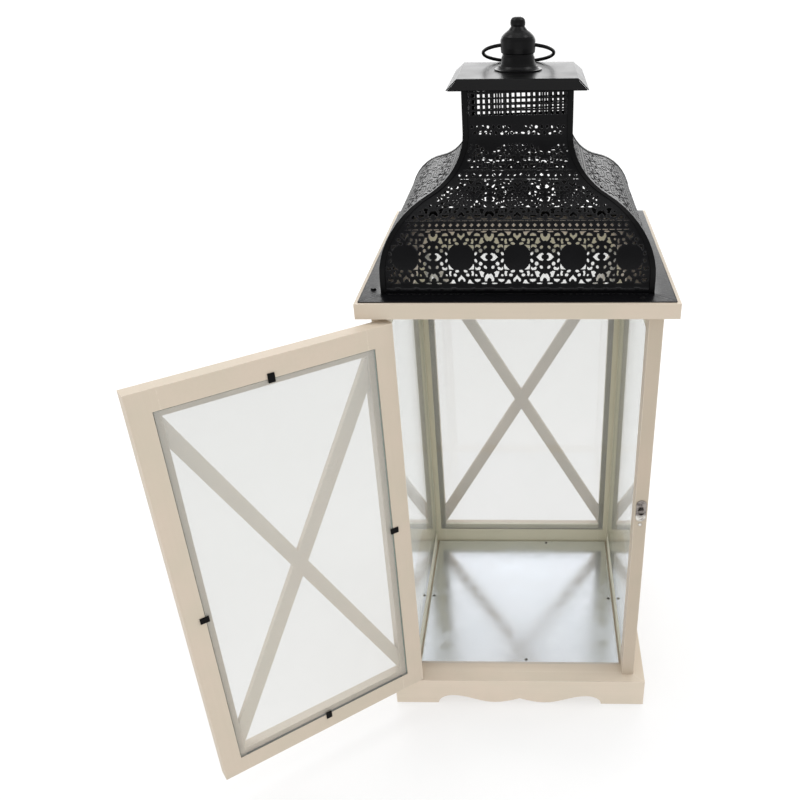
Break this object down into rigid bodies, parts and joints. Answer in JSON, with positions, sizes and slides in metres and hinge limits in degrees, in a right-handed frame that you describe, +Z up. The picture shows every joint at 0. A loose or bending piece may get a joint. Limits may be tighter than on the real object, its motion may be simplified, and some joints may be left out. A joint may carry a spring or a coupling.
{
  "type": "candle lantern",
  "caption": "Square wooden candle lantern with glass panes, crossed slats on its hinged door and back, a scalloped plinth, a pierced black roof and carrying ring.",
  "frame": {"origin": "centre of the plinth, on the surface that the lantern stands on", "axes": "+Z up, the front with the door faces -Y, +X to the right seen from the front"},
  "size_m": [0.4754, 0.4528, 0.7541],
  "materials": {
    "painted_wood": "cream paint, satin, lightly worn at the edges",
    "clear_glass": "clear flat glass with a faint green edge",
    "zinc_sheet": "galvanised sheet, softly reflective",
    "black_metal": "black paint, satin",
    "plated_steel": "nickel-plated steel, slightly dull"
  },
  "bodies": {
    "case": {"plinth_front": "painted_wood", "plinth_back": "painted_wood", "plinth_left": "painted_wood", "plinth_right": "painted_wood", "base_board": "painted_wood", "tray": "zinc_sheet", "tray_nails": "plated_steel", "left_front_stile": "painted_wood", "left_rear_stile": "painted_wood", "left_top_rail": "painted_wood", "left_bottom_rail": "painted_wood", "left_glass": "clear_glass", "right_front_stile": "painted_wood", "right_rear_stile": "painted_wood", "right_top_rail": "painted_wood", "right_bottom_rail": "painted_wood", "right_glass": "clear_glass", "back_left_stile": "painted_wood", "back_right_stile": "painted_wood", "back_top_rail": "painted_wood", "back_bottom_rail": "painted_wood", "back_slat_rising": "painted_wood", "back_slat_falling": "painted_wood", "back_glass": "clear_glass", "top_board": "painted_wood", "upper_hinge_post_leaf": "plated_steel", "lower_hinge_post_leaf": "plated_steel", "hinge_pins": "plated_steel", "post_screws": "plated_steel", "latch_keeper": "plated_steel", "roof_front": "black_metal", "roof_back": "black_metal", "roof_left": "black_metal", "roof_right": "black_metal", "roof_corner_seams": "black_metal", "roof_screws": "black_metal", "chimney_cap": "black_metal", "finial_foot": "black_metal", "finial_bulb": "black_metal", "finial_knob": "black_metal", "finial_stud": "plated_steel", "finial_nut": "plated_steel"},
    "door": {"door_hinge_stile": "painted_wood", "door_free_stile": "painted_wood", "door_top_rail": "painted_wood", "door_bottom_rail": "painted_wood", "door_slat_rising": "painted_wood", "door_slat_falling": "painted_wood", "door_glass": "clear_glass", "door_glass_clips": "black_metal", "upper_hinge_door_leaf": "plated_steel", "lower_hinge_door_leaf": "plated_steel", "door_screws": "plated_steel", "latch_plate": "plated_steel"},
    "hook": {"latch_hook": "plated_steel"},
    "ring": {"carrying_ring": "black_metal"}
  },
  "joints": [
    {"name": "door_hinge", "type": "hinge", "parent": "case", "child": "door", "pos_m": [-0.125, -0.1397, 0.275], "axis": [0, 0, -1], "range_deg": [-143, 33]},
    {"name": "hook_pivot", "type": "hinge", "parent": "door", "child": "hook", "pos_m": [-0.31276, -0.28019, 0.284], "axis": [-0.6018, 0.7986, 0], "range_deg": [-60, 135]},
    {"name": "ring_swing", "type": "hinge", "parent": "case", "child": "ring", "pos_m": [0, 0, 0.72959], "axis": [1, 0, 0], "range_deg": [0, 219.2]}
  ]
}
